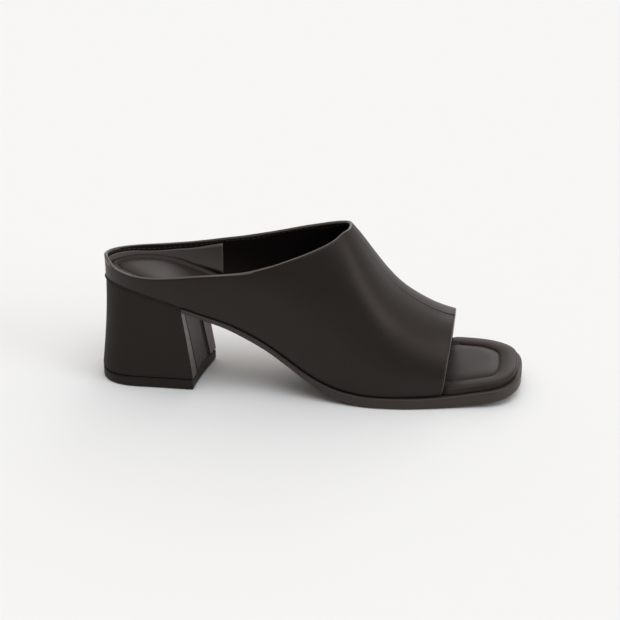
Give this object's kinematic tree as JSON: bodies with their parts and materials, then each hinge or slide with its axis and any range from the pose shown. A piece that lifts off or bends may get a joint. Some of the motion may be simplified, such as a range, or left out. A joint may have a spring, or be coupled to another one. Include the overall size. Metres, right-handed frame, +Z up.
{
  "type": "heeled mule sandal",
  "caption": "Open-toed mule sandal with a square toe, a high one-piece leather vamp, a low collar round the heel seat and a flared covered block heel; right foot.",
  "frame": {"origin": "middle of the bounding box's underside, on the floor under the shoe", "axes": "+X from heel to toe, +Y to the inner side of the foot, +Z up"},
  "size_m": [0.2388, 0.0806, 0.0937],
  "materials": {
    "upper_leather": "smooth black leather with a soft satin sheen",
    "insole_leather": "smooth black lining leather over thin padding",
    "sole_rubber": "matte black rubber with a faint sheen on its edge",
    "heel_cover": "smooth black leather drawn over a hard heel",
    "breast_cover": "thin brown-black leather, slightly glossier than the upper",
    "top_piece_rubber": "matte black hard rubber"
  },
  "bodies": {
    "root": {"upper": "upper_leather", "insole": "insole_leather", "outsole": "sole_rubber", "heel_block": "heel_cover", "heel_breast_panel": "breast_cover", "top_piece": "top_piece_rubber"}
  },
  "joints": []
}
